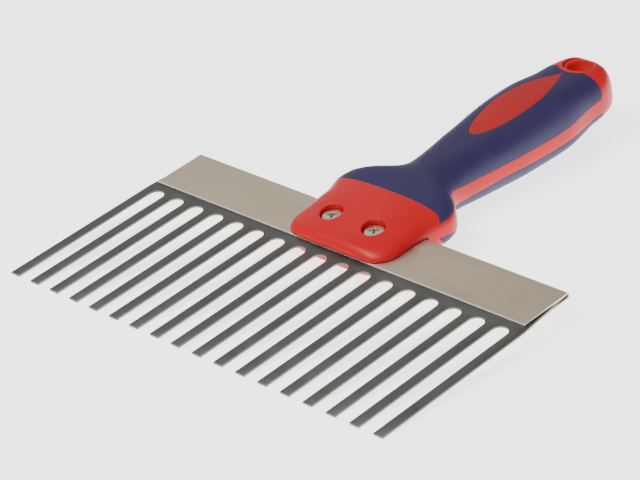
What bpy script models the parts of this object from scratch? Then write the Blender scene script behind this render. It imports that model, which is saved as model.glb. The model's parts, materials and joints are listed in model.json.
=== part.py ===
"""Hand comb for keying plaster and mortar: a steel tine comb in a two-colour soft-grip handle.

The tool is drawn flat in its own frame and then laid down as it rests on a bench.
Own frame: X along the comb, Y from the tines towards the handle, Z up through the comb,
with the origin at the middle of the slot ends, on the comb's lower face.
The root empty tips the tool so that it lies on its tine tips and on the belly of the grip,
and moves the middle of its base to the world origin.
"""
import math

import bmesh
import bpy
from mathutils import Matrix, Vector

MM = 0.001

# ---- driving dimensions, millimetres ---------------------------------------------------------
GAP = 0.3                    # clearance between pieces that touch

COMB_WIDTH = 200.0           # over the outer tines
TINES = 18
TINE_WIDTH = 4.5
SLOT_DEPTH = 73.5            # tine length, from the slot ends to the tips
COMB_STEEL = 0.8             # sheet of the comb
COMB_SHOULDER = 0.8          # where the sides start to taper, behind the slot ends
COMB_TAPER = 2.6             # how much each side comes in at the rear edge

STRIP_FRONT = 3.7            # front edge of the folded strip, behind the slot ends
STRIP_DEPTH = 24.9           # front edge to the outside of the fold
STRIP_STEEL = 0.6            # sheet of the strip
STRIP_INSET = 2.0            # each end of the strip stays this far inside the comb

HEAD_HALF = 27.2             # half width of the jaws where they grip the strip
NOSE_HALF = 18.0             # half width of the straight front edge of the jaws
NOSE_CORNER = 10.0           # depth of the rounded front corners
NOSE_ROUND = 3.6             # radius of the jaws' front edge, seen from the side
NOSE_UNDER = 0.6             # the lower jaw's front edge rounds over by this share of it
JAW_OVERHANG = 0.6           # the jaws reach this far in front of the strip
UPPER_JAW = 4.2              # upper jaw over the strip at its front, before the rounding
LOWER_JAW = 5.3              # the same for the lower jaw

SHOULDER_HALF = 30.1
SHOULDER_RISE = 5.6          # the top climbs this much from the upper jaw to the shoulder
SHOULDER_FALL = 4.4          # the underside drops this much from the lower jaw
NECK_SETBACK = 37.1          # narrowest place, behind the blade slot
NECK_HALF = 13.6
GRIP_HALF = 18.6
GRIP_TOP = 11.7
GRIP_BOTTOM = -15.9
BUTT_HALF = 16.4
BUTT_TOP = 8.6
BUTT_BOTTOM = -13.7
BUTT_ROUND = 20.0            # length of the rounded end, seen from above
BUTT_POWER = 2.5             # 2 is an ellipse, more is squarer
BUTT_EDGE = 6.5              # length of the rounded end, seen from the side
EDGE_POWER = 2.2
HANDLE_END = 161.8           # rear end of the handle, behind the slot ends

SKIN = 1.8                   # thickness of the soft mouldings over the core
ZONE_FRONT_SETBACK = 7.9     # front edge of the mouldings, behind the blade slot
ZONE_REAR_SETBACK = 14.5     # rear edge of the mouldings, before the end of the handle
ZONE_UPRIGHT = 3.4           # height of the upright part of their front edge
ZONE_TOE_TOP = 2.0           # the upper moulding reaches forward by this much at the band
ZONE_TOE_BOTTOM = 3.2        # the same for the lower moulding
ZONE_HEEL = 1.3              # length of the slope at their rear corners
ZONE_HEEL_RISE = 2.2
LENS_HALF = 8.5              # leaf-shaped window in the upper moulding
LENS_FRONT_SHARE = 0.267     # its front tip, as a share of the way from neck to butt
LENS_FRONT_POWER = 0.55      # less is rounder
LENS_REAR_POWER = 0.90
LENS_BIAS = 0.88             # under 1 moves the widest place forward

HOLE_SETBACK = 8.8           # hang hole, before the end of the handle
HOLE_RADIUS = 5.2
HOLE_MOUTH = 1.2             # widening of the hole where it meets the dish
DISH_RADIUS = 7.2            # dish around the mouth of the hang hole
DISH_DEPTH = 1.3
DISH_RIM = 1.7               # core left between the dish and the upper moulding

SCREW_SPACING = 22.4
SCREW_SHARE = 0.54           # share of the strip's depth in front of the screws
SCREW_PROUD = 0.3            # flat of the heads, over the upper jaw's front
SCREW_HEAD_RADIUS = 4.2
SCREW_HEAD_HEIGHT = 2.0
SCREW_HEAD_EDGE = 0.45       # rounding of the head's rim
SCREW_THREAD_RADIUS = 2.0
SCREW_CORE_RADIUS = 1.55
SCREW_PITCH = 1.5
SCREW_FLOOR = 0.2            # the tips stay this far above the lower jaw's front
BORE_CONE = 0.6              # depth of the cone at the bottom of each screw's bore
SCREW_TURNS = (34.0, 40.0)   # how far each cross recess is turned
CROSS_REACH = 2.3
CROSS_HALF = 0.5
CROSS_DEPTH = 1.3
POCKET_PLAY = 0.5            # room around each head in its pocket
SHEET_HOLE_PLAY = 0.5        # room around the thread in the comb and the strip

SECTION_POINTS = 44          # round the handle
SECTION_STEP = 4.4           # between sections along the grip
HIDDEN_POINTS = 28           # the same for the surfaces under the soft mouldings
HIDDEN_STEP = 7.0
BEYOND = 80.0                # guide solids reach past the handle by this much
JUST_BEYOND = 6.0            # the same over the mouths of the hang hole
SMOOTH_ANGLE = 35.0
COLOURS = {
    "comb_blade": ((0.135, 0.130, 0.125), 0.42, 1.0),
    "back_strip": ((0.46, 0.40, 0.33), 0.45, 1.0),
    "handle_core": ((0.62, 0.035, 0.030), 0.38, 0.0),
    "grip_upper": ((0.032, 0.032, 0.095), 0.62, 0.0),
    "grip_lower": ((0.032, 0.032, 0.095), 0.62, 0.0),
    "screw": ((0.60, 0.52, 0.40), 0.35, 1.0),
}


def mix(start, end, share):
    return start + (end - start) * share


# ---- sizes that follow -----------------------------------------------------------------------
PITCH = (COMB_WIDTH - TINE_WIDTH) / (TINES - 1)
SLOT_WIDTH = PITCH - TINE_WIDTH
STRIP_LENGTH = COMB_WIDTH - 2 * STRIP_INSET
STRIP_TOP = COMB_STEEL + GAP + STRIP_STEEL
STRIP_BOTTOM = -GAP - STRIP_STEEL
FOLD_RADIUS = (STRIP_TOP - STRIP_BOTTOM) / 2
FOLD_Y = STRIP_FRONT + STRIP_DEPTH - FOLD_RADIUS
FOLD_Z = (STRIP_TOP + STRIP_BOTTOM) / 2
COMB_REAR = FOLD_Y
SLOT_REAR = STRIP_FRONT + STRIP_DEPTH + GAP
HEAD_FRONT = STRIP_FRONT - JAW_OVERHANG
JAW_TOP = STRIP_TOP + UPPER_JAW
JAW_BOTTOM = STRIP_BOTTOM - LOWER_JAW
SHOULDER_TOP = JAW_TOP + SHOULDER_RISE
SHOULDER_BOTTOM = JAW_BOTTOM - SHOULDER_FALL
NECK_Y = SLOT_REAR + NECK_SETBACK
BUTT_START = HANDLE_END - BUTT_ROUND
SCREW_Y = STRIP_FRONT + SCREW_SHARE * STRIP_DEPTH
SCREW_X = (-SCREW_SPACING / 2, SCREW_SPACING / 2)
SCREW_HEAD_TOP = JAW_TOP + SCREW_PROUD
SCREW_SEAT = SCREW_HEAD_TOP - SCREW_HEAD_HEIGHT
SCREW_TIP = JAW_BOTTOM + SCREW_FLOOR
SHEET_HOLE = SCREW_THREAD_RADIUS + SHEET_HOLE_PLAY
ZONE_FRONT = SLOT_REAR + ZONE_FRONT_SETBACK
ZONE_REAR = HANDLE_END - ZONE_REAR_SETBACK
LENS_FRONT = mix(NECK_Y, BUTT_START, LENS_FRONT_SHARE)
LENS_REAR = BUTT_START
HOLE_Y = HANDLE_END - HOLE_SETBACK


def at_jaw(share):
    return mix(HEAD_FRONT, SLOT_REAR, share)


def at_neck(share):
    return mix(SLOT_REAR, NECK_Y, share)


def at_grip(share):
    return mix(NECK_Y, BUTT_START, share)


# Along the handle: (Y, value), joined by a smooth curve without overshoot.
HALF_WIDTH = (
    (HEAD_FRONT, HEAD_HALF), (HEAD_FRONT + NOSE_CORNER, HEAD_HALF),
    (SLOT_REAR, mix(HEAD_HALF, SHOULDER_HALF, 0.19)), (at_neck(0.27), SHOULDER_HALF),
    (at_neck(0.38), mix(NECK_HALF, SHOULDER_HALF, 0.95)),
    (at_neck(0.53), mix(NECK_HALF, SHOULDER_HALF, 0.67)),
    (at_neck(0.68), mix(NECK_HALF, SHOULDER_HALF, 0.25)),
    (at_neck(0.84), mix(NECK_HALF, SHOULDER_HALF, 0.03)), (NECK_Y, NECK_HALF),
    (at_grip(0.225), mix(NECK_HALF, GRIP_HALF, 0.34)), (at_grip(0.45), mix(NECK_HALF, GRIP_HALF, 0.76)),
    (at_grip(0.74), GRIP_HALF), (BUTT_START, BUTT_HALF), (HANDLE_END, BUTT_HALF))
TOP = (
    (HEAD_FRONT, JAW_TOP), (at_jaw(0.73), mix(JAW_TOP, SHOULDER_TOP, 0.48)),
    (at_neck(0.22), mix(JAW_TOP, SHOULDER_TOP, 0.82)), (at_neck(0.49), SHOULDER_TOP),
    (at_neck(0.89), GRIP_TOP - 1.8), (at_grip(0.29), GRIP_TOP - 1.7), (at_grip(0.61), GRIP_TOP),
    (at_grip(0.80), mix(BUTT_TOP, GRIP_TOP, 0.86)), (BUTT_START, mix(BUTT_TOP, GRIP_TOP, 0.32)),
    (HANDLE_END, BUTT_TOP))
BOTTOM = (
    (HEAD_FRONT, JAW_BOTTOM), (at_jaw(0.65), mix(JAW_BOTTOM, SHOULDER_BOTTOM, 0.45)),
    (at_neck(0.22), mix(JAW_BOTTOM, SHOULDER_BOTTOM, 0.77)), (at_neck(0.57), SHOULDER_BOTTOM),
    (at_neck(0.89), GRIP_BOTTOM + 3.3), (at_grip(0.185), GRIP_BOTTOM + 1.2), (at_grip(0.49), GRIP_BOTTOM),
    (at_grip(0.75), GRIP_BOTTOM), (at_grip(0.9), GRIP_BOTTOM + 0.6),
    (BUTT_START, BUTT_BOTTOM), (HANDLE_END, BUTT_BOTTOM + 1.0))
PARTING = (
    (HEAD_FRONT, 0.0), (SLOT_REAR, 0.8), (at_neck(0.22), 1.8), (at_neck(0.46), 1.5), (at_neck(0.78), -0.8),
    (NECK_Y, -1.8), (at_grip(0.32), -2.5), (at_grip(0.69), -3.8), (HANDLE_END, -3.4))

# Squareness of the sections: 2 is an ellipse, more is squarer.
SQUARE_TOP = (
    (HEAD_FRONT, 2.7), (at_jaw(0.42), 3.1), (at_jaw(0.81), 3.2), (at_neck(0.19), 2.7),
    (at_neck(0.46), 2.8), (at_neck(0.73), 2.2), (at_grip(0.08), 2.7), (at_grip(0.29), 3.0),
    (at_grip(0.61), 2.9), (HANDLE_END, 3.0))
SQUARE_BOTTOM = (
    (HEAD_FRONT, 3.8), (SLOT_REAR, 3.6), (at_neck(0.35), 2.9), (at_neck(0.73), 2.3),
    (at_grip(0.32), 2.4), (HANDLE_END, 2.7))

# Edges of the mouldings in side view, as shares of the height from the parting line to the top
# and from the parting line to the bottom. The red band shows between them.
BAND_TOP = (
    (ZONE_FRONT - ZONE_TOE_TOP, 0.353), (at_neck(0.43), 0.39), (at_neck(0.78), 0.30), (at_grip(0.03), 0.214),
    (at_grip(0.32), 0.18), (at_grip(0.69), 0.19), (ZONE_REAR - ZONE_HEEL, 0.27))
BAND_BOTTOM = (
    (ZONE_FRONT - ZONE_TOE_BOTTOM, 0.228), (at_neck(0.46), 0.312), (at_neck(0.78), 0.342),
    (at_grip(0.03), 0.322), (at_grip(0.32), 0.25), (at_grip(0.69), 0.235),
    (ZONE_REAR - ZONE_HEEL, 0.28))
BAND_POINTS = 26


# ---- small helpers ---------------------------------------------------------------------------
def along(rows, y):
    """Value at y on the smooth, overshoot-free curve through the rows."""
    if y <= rows[0][0]:
        return rows[0][1]
    if y >= rows[-1][0]:
        return rows[-1][1]
    steps = [(b[0] - a[0], (b[1] - a[1]) / (b[0] - a[0])) for a, b in zip(rows, rows[1:])]
    slopes = [steps[0][1]]
    for (span_a, rise_a), (span_b, rise_b) in zip(steps, steps[1:]):
        if rise_a * rise_b <= 0:
            slopes.append(0.0)
        else:
            weight_a, weight_b = 2 * span_b + span_a, span_b + 2 * span_a
            slopes.append((weight_a + weight_b) / (weight_a / rise_a + weight_b / rise_b))
    slopes.append(steps[-1][1])
    i = max(k for k in range(len(steps)) if y >= rows[k][0])
    span = steps[i][0]
    t = (y - rows[i][0]) / span
    return ((2 * t ** 3 - 3 * t ** 2 + 1) * rows[i][1] + (t ** 3 - 2 * t ** 2 + t) * span * slopes[i]
            + (3 * t ** 2 - 2 * t ** 3) * rows[i + 1][1] + (t ** 3 - t ** 2) * span * slopes[i + 1])


def arc(centre, radius, start, end, count):
    """Points on an arc, angles in degrees."""
    angles = [math.radians(start + (end - start) * k / count) for k in range(count + 1)]
    return [(centre[0] + radius * math.cos(a), centre[1] + radius * math.sin(a)) for a in angles]


def make_object(name, bm, smooth_angle=None):
    """Object from a bmesh in millimetres, with its faces turned outwards."""
    bmesh.ops.recalc_face_normals(bm, faces=bm.faces)
    bmesh.ops.scale(bm, vec=(MM, MM, MM), verts=bm.verts)
    mesh = bpy.data.meshes.new(name)
    bm.to_mesh(mesh)
    bm.free()
    if smooth_angle is not None:
        mesh.shade_smooth()
        mesh.set_sharp_from_angle(angle=math.radians(smooth_angle))
    obj = bpy.data.objects.new(name, mesh)
    bpy.context.scene.collection.objects.link(obj)
    return obj


def make_material(name, key):
    colour, roughness, metallic = COLOURS[key]
    material = bpy.data.materials.new(name)
    material.use_nodes = True
    shader = material.node_tree.nodes["Principled BSDF"]
    shader.inputs["Base Color"].default_value = (*colour, 1.0)
    shader.inputs["Roughness"].default_value = roughness
    shader.inputs["Metallic"].default_value = metallic
    material.diffuse_color = (*colour, 1.0)
    return material


def prism(name, outline, low, high, axis="Z"):
    """Closed prism: the outline is (x, y) for axis Z and (y, z) for axis X."""
    def place(point, level):
        return (point[0], point[1], level) if axis == "Z" else (level, point[0], point[1])

    bm = bmesh.new()
    lower = [bm.verts.new(place(p, low)) for p in outline]
    upper = [bm.verts.new(place(p, high)) for p in outline]
    bm.faces.new(lower)
    bm.faces.new(upper)
    for k in range(len(outline)):
        j = (k + 1) % len(outline)
        bm.faces.new((lower[k], lower[j], upper[j], upper[k]))
    return make_object(name, bm)


def skin_rings(bm, rings, segments):
    """Faces between rings that follow one another; a ring of one point is a pole."""
    for a, b in zip(rings, rings[1:]):
        for k in range(segments):
            j = (k + 1) % segments
            corners = [a[k % len(a)], a[j % len(a)], b[j % len(b)], b[k % len(b)]]
            bm.faces.new(list(dict.fromkeys(corners)))


def turned(name, profile, centre, segments=32):
    """Solid of revolution about a vertical axis; the profile is (radius, z), from pole to pole."""
    bm = bmesh.new()
    rings = []
    for radius, z in profile:
        if radius == 0:
            rings.append([bm.verts.new((centre[0], centre[1], z))])
            continue
        angles = [2 * math.pi * k / segments for k in range(segments)]
        rings.append([bm.verts.new((centre[0] + radius * math.cos(a), centre[1] + radius * math.sin(a), z))
                      for a in angles])
    skin_rings(bm, rings, segments)
    return make_object(name, bm)


def cut(obj, cutter, operation="DIFFERENCE"):
    """Boolean with a guide object, which is left out of the model."""
    cutter.hide_render = True
    cutter.display_type = "WIRE"
    modifier = obj.modifiers.new(cutter.name, "BOOLEAN")
    modifier.operation = operation
    modifier.solver = "EXACT"
    modifier.object = cutter


# ---- the handle's shape ----------------------------------------------------------------------
def section(y):
    """Half width, top, bottom and parting height of the handle at y."""
    half = along(HALF_WIDTH, y)
    top = along(TOP, y)
    bottom = along(BOTTOM, y)
    parting = along(PARTING, y)
    into_nose = y - HEAD_FRONT
    if into_nose < NOSE_CORNER:
        bulge = math.sqrt(max(0.0, 1 - (1 - into_nose / NOSE_CORNER) ** 2))
        half = NOSE_HALF + (half - NOSE_HALF) * bulge
    if into_nose < NOSE_ROUND:
        drop = NOSE_ROUND * (1 - math.sqrt(max(0.0, 1 - (1 - into_nose / NOSE_ROUND) ** 2)))
        top -= drop
        bottom += NOSE_UNDER * drop
    into_butt = (y - BUTT_START) / BUTT_ROUND
    if into_butt > 0:
        half *= max(0.0, 1 - into_butt ** BUTT_POWER) ** (1 / BUTT_POWER)
    into_edge = (y - HANDLE_END + BUTT_EDGE) / BUTT_EDGE
    if into_edge > 0:
        shrink = max(0.0, 1 - into_edge ** EDGE_POWER) ** (1 / EDGE_POWER)
        top = parting + (top - parting) * shrink
        bottom = parting + (bottom - parting) * shrink
    return half, top, bottom, parting


def section_places(step=SECTION_STEP):
    """Places of the sections: close together where the ends round over, even between them."""
    nose = [HEAD_FRONT + NOSE_ROUND * (1 - math.cos(math.radians(a))) for a in range(0, 90, 18)]
    corner = [HEAD_FRONT + NOSE_ROUND + (NOSE_CORNER - NOSE_ROUND) * k / 3 for k in range(3)]
    start, end = HEAD_FRONT + NOSE_CORNER, HANDLE_END - BUTT_EDGE
    count = math.ceil((end - start) / step)
    middle = [start + (end - start) * k / count for k in range(count)]
    butt = [end + BUTT_EDGE * math.sin(math.radians(a)) for a in (0, 18, 36, 52, 66, 77, 85)]
    return nose + corner + middle + butt


def handle_body(name, inset=0.0, smooth_angle=None):
    """The handle's outer shape, or the same shape drawn in by inset on every side."""
    bm = bmesh.new()
    rings = []
    points = HIDDEN_POINTS if inset else SECTION_POINTS
    for y in section_places(HIDDEN_STEP if inset else SECTION_STEP):
        half, top, bottom, parting = section(y)
        ring = []
        for k in range(points):
            angle = 2 * math.pi * (k + 0.5) / points
            across, up = math.cos(angle), math.sin(angle)
            height = (top - parting if up > 0 else parting - bottom) - inset
            square = along(SQUARE_TOP if up > 0 else SQUARE_BOTTOM, y)
            x = max(half - inset, 0.2) * math.copysign(abs(across) ** (2 / square), across)
            z = parting + max(height, 0.2) * math.copysign(abs(up) ** (2 / square), up)
            ring.append(bm.verts.new((x, y, z)))
        rings.append(ring)
    for a, b in zip(rings, rings[1:]):
        for k in range(points):
            j = (k + 1) % points
            bm.faces.new((a[k], a[j], b[j], b[k]))
    bm.faces.new(rings[0])
    bm.faces.new(rings[-1])
    return make_object(name, bm, smooth_angle)


def band_edge(rows, limit, inset):
    """Edge of a moulding from front to rear; limit picks the section's top (1) or bottom (2)."""
    first, last = rows[0][0] + inset, rows[-1][0] - inset
    away = inset if limit == 1 else -inset
    edge = []
    for k in range(BAND_POINTS + 1):
        y = mix(first, last, k / BAND_POINTS)
        shape = section(y)
        edge.append((y, mix(shape[3], shape[limit], along(rows, y)) + away))
    return edge


def zone(name, rows, limit, inset):
    """Side-view prism of the upper (limit 1) or lower (limit 2) moulding, drawn in by inset."""
    edge = band_edge(rows, limit, inset)
    outwards = 1 if limit == 1 else -1
    surface = section(ZONE_FRONT)[limit]
    outside = outwards * BEYOND
    outline = edge + [(ZONE_REAR - inset, edge[-1][1] + outwards * ZONE_HEEL_RISE),
                      (ZONE_REAR - inset, outside), (ZONE_FRONT + inset, outside),
                      (ZONE_FRONT + inset, surface - outwards * ZONE_UPRIGHT)]
    return prism(name, outline, -BEYOND, BEYOND, axis="X")


def lens_prism(name, grow):
    """Upright prism of the leaf-shaped window."""
    count = 18
    places = [0.5 * (1 - math.cos(math.pi * k / count)) for k in range(count + 1)]
    side = []
    for t in places:
        swell = max(0.0, math.sin(math.pi * t ** LENS_BIAS)) ** mix(LENS_FRONT_POWER, LENS_REAR_POWER, t)
        side.append(((LENS_HALF + grow) * swell, mix(LENS_FRONT - grow, LENS_REAR + grow, t)))
    mirrored = [(-x, y) for x, y in reversed(side[1:-1])]
    return prism(name, side + mirrored, 0.0, BEYOND)


def cylinder(name, radius, low, high, centre):
    """Upright cylinder."""
    return turned(name, [(0, low), (radius, low), (radius, high), (0, high)], centre)


def scallop(name, grow):
    """Upright cylinder that keeps the upper moulding clear of the hang hole's dish."""
    return cylinder(name, DISH_RADIUS + DISH_RIM + grow, 0.0, BEYOND, (0, HOLE_Y))


# ---- the pieces ------------------------------------------------------------------------------
def comb_blade():
    """Flat spring-steel comb: square tines, full-radius slot ends, tapered back."""
    radius = SLOT_WIDTH / 2
    half = COMB_WIDTH / 2
    outline = []
    for k in range(TINES):
        left = -half + k * PITCH
        outline += [(left, -SLOT_DEPTH), (left + TINE_WIDTH, -SLOT_DEPTH)]
        if k < TINES - 1:
            centre = (left + TINE_WIDTH + radius, -radius)
            outline += arc(centre, radius, 180, 0, 10)
    outline += [(half, COMB_SHOULDER), (half - COMB_TAPER, COMB_REAR),
                (COMB_TAPER - half, COMB_REAR), (-half, COMB_SHOULDER)]
    blade = prism("comb_blade", outline, 0.0, COMB_STEEL)
    for side, x in zip(("left", "right"), SCREW_X):
        cut(blade, cylinder("comb_hole_" + side, SHEET_HOLE, -1, COMB_STEEL + 1, (x, SCREW_Y)))
    return blade


def back_strip():
    """Sheet folded over the comb's back edge, a leaf above and a leaf below."""
    outer = arc((FOLD_Y, FOLD_Z), FOLD_RADIUS, 90, -90, 12)
    inner = arc((FOLD_Y, FOLD_Z), FOLD_RADIUS - STRIP_STEEL, -90, 90, 8)
    outline = ([(STRIP_FRONT, STRIP_TOP)] + outer
               + [(STRIP_FRONT, STRIP_BOTTOM), (STRIP_FRONT, STRIP_BOTTOM + STRIP_STEEL)]
               + inner + [(STRIP_FRONT, STRIP_TOP - STRIP_STEEL)])
    strip = prism("back_strip", outline, -STRIP_LENGTH / 2, STRIP_LENGTH / 2, axis="X")
    for side, x in zip(("left", "right"), SCREW_X):
        cut(strip, cylinder("strip_hole_" + side, SHEET_HOLE, STRIP_BOTTOM - 1, STRIP_TOP + 1,
                            (x, SCREW_Y)))
    return strip


def screw_bore(name, x):
    """Head pocket and bore for one screw, down to a closed end in the lower jaw."""
    pocket = SCREW_HEAD_RADIUS + POCKET_PLAY
    bore = SCREW_THREAD_RADIUS + GAP
    floor = SCREW_TIP - GAP
    profile = [(0, floor - BORE_CONE), (bore, floor), (bore, SCREW_SEAT - GAP), (pocket, SCREW_SEAT - GAP),
               (pocket, BEYOND), (0, BEYOND)]
    return turned(name, profile, (x, SCREW_Y))


def hang_hole(name):
    """Bore through the butt with a shallow dish at each mouth."""
    top, bottom = section(HOLE_Y)[1:3]
    outer, mouth = DISH_RADIUS, HOLE_RADIUS + HOLE_MOUTH
    half = [(0, JUST_BEYOND), (outer + JUST_BEYOND / 2, JUST_BEYOND), (outer, 0.0),
            (mouth, -DISH_DEPTH), (HOLE_RADIUS, -DISH_DEPTH - HOLE_MOUTH)]
    profile = [(radius, bottom - rise) for radius, rise in half]
    profile += [(radius, top + rise) for radius, rise in reversed(half)]
    return turned(name, profile, (0, HOLE_Y), segments=40)


def handle_core():
    """Hard core: jaws, side bands, leaf pad and butt, recessed for the soft mouldings."""
    core = handle_body("handle_core", smooth_angle=SMOOTH_ANGLE)
    inner = handle_body("core_under_skin", inset=SKIN)
    upper = zone("upper_recess", BAND_TOP, 1, 0.0)
    cut(upper, lens_prism("lens_pad", 0.0))
    cut(upper, scallop("scallop_recess", 0.0))
    cut(upper, inner)
    lower = zone("lower_recess", BAND_BOTTOM, 2, 0.0)
    cut(lower, inner)
    cut(core, upper)
    cut(core, lower)
    slot_low, slot_high = STRIP_BOTTOM - GAP, STRIP_TOP + GAP
    slot = [(-BEYOND, slot_low), (SLOT_REAR, slot_low), (SLOT_REAR, slot_high), (-BEYOND, slot_high)]
    cut(core, prism("blade_slot", slot, -BEYOND, BEYOND, axis="X"))
    for side, x in zip(("left", "right"), SCREW_X):
        cut(core, screw_bore("screw_bore_" + side, x))
    cut(core, hang_hole("hang_hole"))
    return core


def grip_upper():
    """Soft upper moulding with the leaf window, from the shoulder to the butt."""
    skin = handle_body("grip_upper", smooth_angle=SMOOTH_ANGLE)
    cut(skin, zone("upper_edges", BAND_TOP, 1, GAP), "INTERSECT")
    cut(skin, handle_body("upper_underside", inset=SKIN - GAP))
    cut(skin, lens_prism("lens_window", GAP))
    cut(skin, scallop("scallop_edge", GAP))
    return skin


def grip_lower():
    """Soft lower moulding, from under the shoulder to the butt."""
    skin = handle_body("grip_lower", smooth_angle=SMOOTH_ANGLE)
    cut(skin, zone("lower_edges", BAND_BOTTOM, 2, GAP), "INTERSECT")
    cut(skin, handle_body("lower_underside", inset=SKIN - GAP))
    return skin


def thread_radius(angle, z, share, fade):
    """Radius of the threaded shank; share thins the core at the tip, fade runs the thread out."""
    phase = (z / SCREW_PITCH - angle / (2 * math.pi)) % 1.0
    crest = max(0.0, 1 - abs(phase - 0.5) / 0.32)
    return SCREW_CORE_RADIUS * share + (SCREW_THREAD_RADIUS - SCREW_CORE_RADIUS) * crest * fade


def screw(side, x, turn):
    """Self-tapping screw: flat head with a cross recess and a helical thread."""
    segments = 16
    angles = [2 * math.pi * k / segments for k in range(segments)]
    run_out = 1.1
    thread = SCREW_SEAT - SCREW_TIP - run_out
    rows = 5 * round(thread / SCREW_PITCH)
    bm = bmesh.new()

    def ring(radii, z):
        return [bm.verts.new((x + radius * math.cos(a), SCREW_Y + radius * math.sin(a), z))
                for radius, a in zip(radii, angles)]

    rings = [[bm.verts.new((x, SCREW_Y, SCREW_TIP))]]
    for row in range(rows + 1):
        z = SCREW_TIP + 0.1 + thread * row / rows
        share = min(1.0, mix(0.45, 1.0, row / 6))
        fade = min(1.0, row / 6, (rows - row) / 3)
        rings.append(ring([thread_radius(a, z, share, fade) for a in angles], z))
    rim = SCREW_HEAD_RADIUS
    for radius, z in ((SCREW_CORE_RADIUS, SCREW_SEAT), (rim, SCREW_SEAT),
                      (rim, SCREW_HEAD_TOP - SCREW_HEAD_EDGE), (rim - SCREW_HEAD_EDGE, SCREW_HEAD_TOP)):
        rings.append(ring([radius] * segments, z))
    rings.append([bm.verts.new((x, SCREW_Y, SCREW_HEAD_TOP))])
    skin_rings(bm, rings, segments)
    body = make_object("screw_" + side, bm, SMOOTH_ANGLE)
    for arm in (0, 90):
        angle = math.radians(turn + arm)
        corners = [(-CROSS_REACH, -CROSS_HALF), (CROSS_REACH, -CROSS_HALF),
                   (CROSS_REACH, CROSS_HALF), (-CROSS_REACH, CROSS_HALF)]
        outline = [(x + p * math.cos(angle) - q * math.sin(angle),
                    SCREW_Y + p * math.sin(angle) + q * math.cos(angle)) for p, q in corners]
        cut(body, prism("recess_%s_%d" % (side, arm), outline, SCREW_HEAD_TOP - CROSS_DEPTH,
                        SCREW_HEAD_TOP + 1))
    return body


def lay_down(objects):
    """Tip the tool onto its tine tips and the belly of its grip, centred on the origin."""
    root = bpy.data.objects.new("tool", None)
    bpy.context.scene.collection.objects.link(root)
    tip = Vector((0, -SLOT_DEPTH, 0))
    belly = [(y, section(y)[2]) for y in section_places() if y > COMB_REAR]
    pitch = max(math.atan2(tip.z - z, y - tip.y) for y, z in belly)
    turn = Matrix.Rotation(pitch, 4, "X")
    reach = [turn @ Vector((0, y, 0)) for y in (-SLOT_DEPTH, HANDLE_END)]
    shift = Vector((0, -(reach[0].y + reach[1].y) / 2, -(turn @ tip).z)) * MM
    root.matrix_world = Matrix.Translation(shift) @ turn
    for obj in objects:
        obj.parent = root


def main():
    for obj in list(bpy.data.objects):
        bpy.data.objects.remove(obj, do_unlink=True)
    pieces = {
        "comb_blade": comb_blade(),
        "back_strip": back_strip(),
        "handle_core": handle_core(),
        "grip_upper": grip_upper(),
        "grip_lower": grip_lower(),
    }
    for key, obj in pieces.items():
        obj.data.materials.append(make_material(key, key))
    screws = [screw(side, x, turn) for side, x, turn in zip(("left", "right"), SCREW_X, SCREW_TURNS)]
    screw_steel = make_material("screw_steel", "screw")
    for obj in screws:
        obj.data.materials.append(screw_steel)
    lay_down(list(bpy.data.objects))


main()
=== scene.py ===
"""Looks of the plaster scarifier comb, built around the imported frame.

Every shape is drawn in the tool's own frame, in millimetres: X along the comb, Y from the tines
towards the handle, Z up through the comb, the origin at the middle of the slot ends on the comb's
lower face. The frame's record and boxes say how that frame lies on the bench.
"""

import json
import math

import bmesh
import bpy
import numpy as np
from mathutils import Matrix, Vector

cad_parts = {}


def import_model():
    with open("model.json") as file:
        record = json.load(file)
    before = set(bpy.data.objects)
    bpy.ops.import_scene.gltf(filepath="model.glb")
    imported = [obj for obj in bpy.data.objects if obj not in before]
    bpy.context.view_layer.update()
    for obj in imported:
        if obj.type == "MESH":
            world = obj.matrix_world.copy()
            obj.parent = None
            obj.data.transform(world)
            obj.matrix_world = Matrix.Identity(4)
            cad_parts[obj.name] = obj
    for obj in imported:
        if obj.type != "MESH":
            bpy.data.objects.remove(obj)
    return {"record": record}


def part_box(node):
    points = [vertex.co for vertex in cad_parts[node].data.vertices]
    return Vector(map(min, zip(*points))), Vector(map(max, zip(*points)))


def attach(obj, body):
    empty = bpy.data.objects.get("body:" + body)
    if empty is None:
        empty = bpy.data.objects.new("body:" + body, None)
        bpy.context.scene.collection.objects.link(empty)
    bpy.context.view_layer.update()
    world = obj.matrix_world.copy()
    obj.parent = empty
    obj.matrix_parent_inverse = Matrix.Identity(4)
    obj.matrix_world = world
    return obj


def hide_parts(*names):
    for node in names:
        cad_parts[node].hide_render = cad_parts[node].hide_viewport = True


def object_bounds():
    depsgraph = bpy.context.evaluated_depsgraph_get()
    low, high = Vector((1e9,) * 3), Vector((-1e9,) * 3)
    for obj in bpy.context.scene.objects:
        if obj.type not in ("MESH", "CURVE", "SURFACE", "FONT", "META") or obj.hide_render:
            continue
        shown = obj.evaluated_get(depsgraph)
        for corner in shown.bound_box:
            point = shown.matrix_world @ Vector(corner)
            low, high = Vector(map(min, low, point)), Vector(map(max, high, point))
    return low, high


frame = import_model()
cad_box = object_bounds()

MM = 0.001

# ---- sizes in millimetres, as in the part ------------------------------------------------------
GAP = 0.3                    # clearance between pieces that touch

COMB_WIDTH = 200.0           # over the outer tines
TINES = 18
TINE_WIDTH = 4.5
SLOT_DEPTH = 73.5            # tine length, from the slot ends to the tips
COMB_STEEL = 0.8             # sheet of the comb
COMB_SHOULDER = 0.8          # where the sides start to taper, behind the slot ends
COMB_TAPER = 2.6             # how much each side comes in at the rear edge

STRIP_FRONT = 3.7            # front edge of the folded strip, behind the slot ends
STRIP_DEPTH = 24.9           # front edge to the outside of the fold
STRIP_STEEL = 0.6            # sheet of the strip
STRIP_INSET = 2.0            # each end of the strip stays this far inside the comb

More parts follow.
